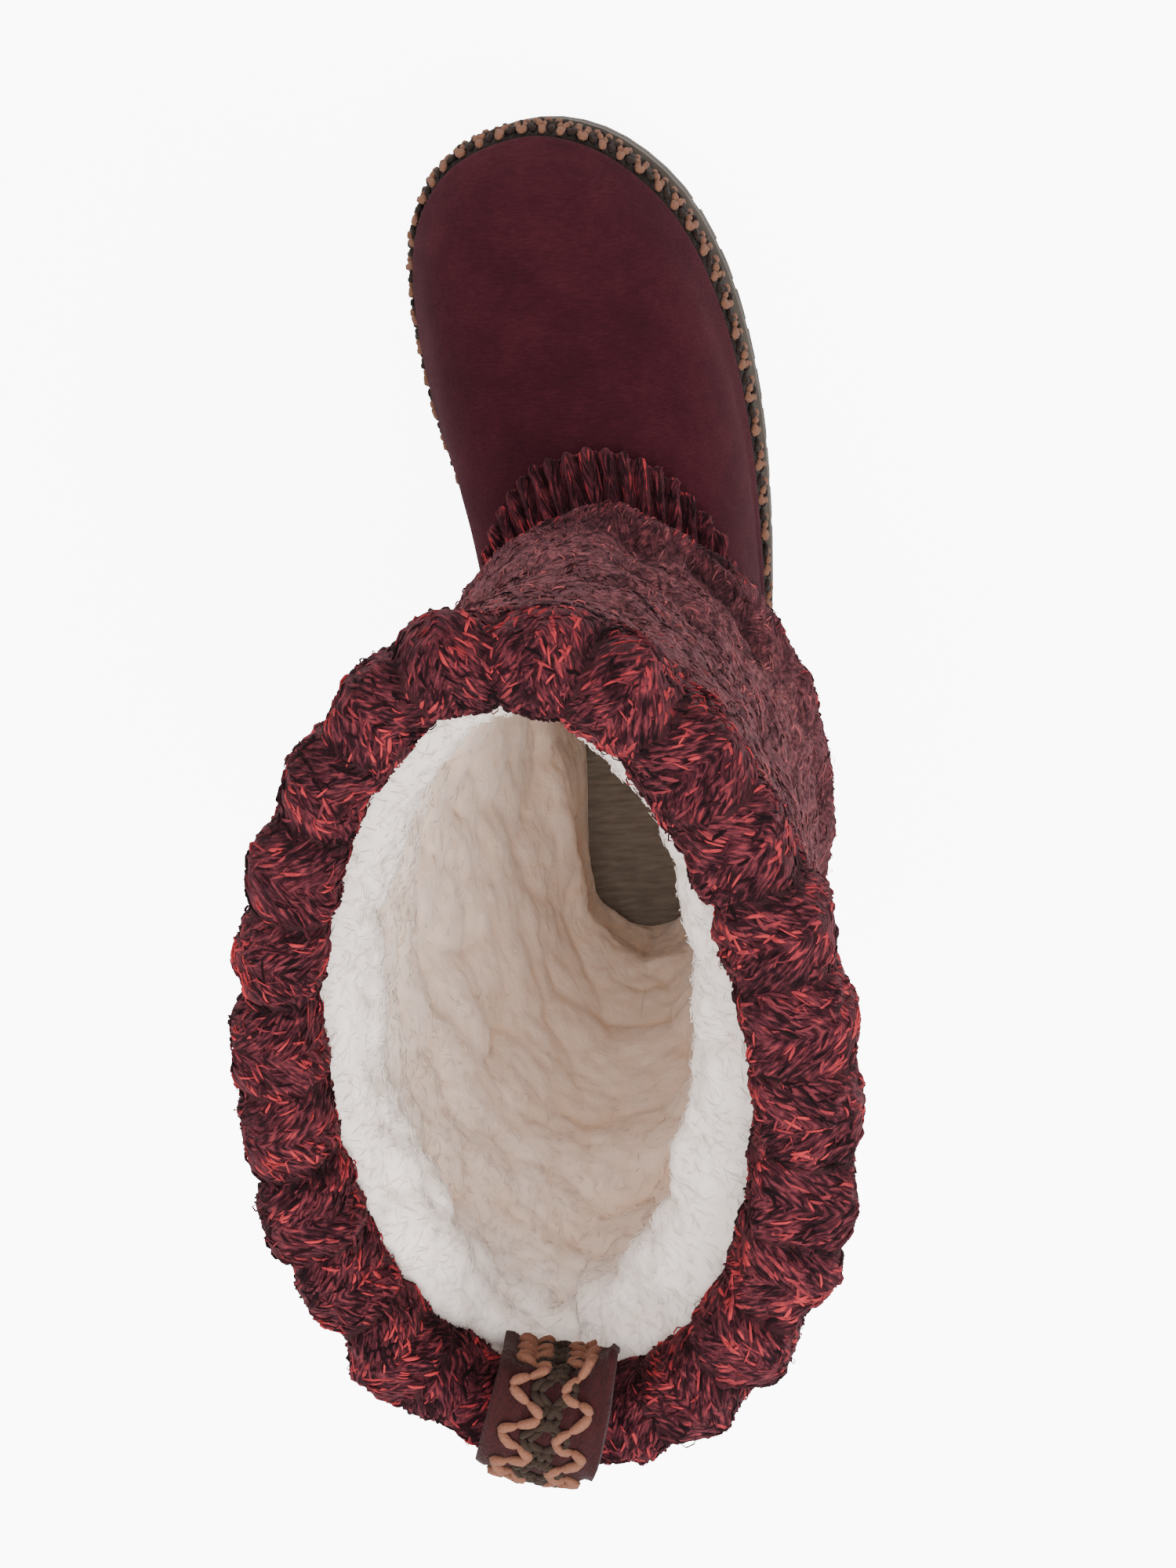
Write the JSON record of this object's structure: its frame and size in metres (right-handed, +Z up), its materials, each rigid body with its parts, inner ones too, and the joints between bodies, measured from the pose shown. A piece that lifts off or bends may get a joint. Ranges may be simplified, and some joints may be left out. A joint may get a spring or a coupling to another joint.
{
  "type": "pull-on boot",
  "caption": "Mid-calf pull-on boot: suede foot, zigzag ribbon trim, slouchy cable-knit shaft with a rolled rim, deep fleece lining and ribbed flat sole.",
  "frame": {"origin": "on the floor, in the middle of the heel's flat spot", "axes": "+Y to the toe, +X to the outer side of the foot, +Z up"},
  "size_m": [0.1388, 0.292, 0.2863],
  "materials": {
    "moulded_rubber": "matt moulded",
    "grey_sock_cloth": "woven cloth",
    "burgundy_suede": "napped suede",
    "woven_ribbon": "chunky woven ribbon",
    "marled_knit": "marled bulky knit",
    "sherpa_fleece": "deep curly pile",
    "loop_ribbon": "woven ribbon"
  },
  "bodies": {
    "root": {"outsole": "moulded_rubber", "insole": "grey_sock_cloth", "foot_upper": "burgundy_suede", "ribbon_trim": "woven_ribbon", "knit_shaft": "marled_knit", "fleece_lining": "sherpa_fleece", "pull_loop": "loop_ribbon"}
  },
  "joints": []
}
